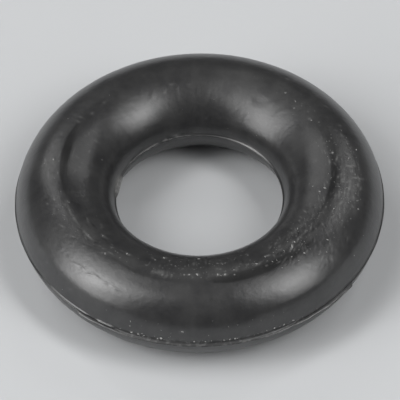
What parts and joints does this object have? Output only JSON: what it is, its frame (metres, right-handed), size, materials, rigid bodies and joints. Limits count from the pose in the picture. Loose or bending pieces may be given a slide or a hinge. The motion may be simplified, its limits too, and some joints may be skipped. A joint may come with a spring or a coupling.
{
  "type": "o-ring",
  "caption": "Black rubber sealing ring with a slightly flattened round section, moulding flash on its parting line and a torn flash film; seals a joint between a shaft and a housing.",
  "frame": {"origin": "centre of the hole, on the parting plane at half the section's height", "axes": "+Z along the axis of the hole; -Y towards the stretch of torn flash film"},
  "size_m": [0.0132, 0.0132, 0.0032],
  "materials": {
    "black_rubber": "satin moulded nitrile rubber, lightly scuffed, with pale dust specks"
  },
  "bodies": {
    "root": {"o_ring": "black_rubber"}
  },
  "joints": []
}
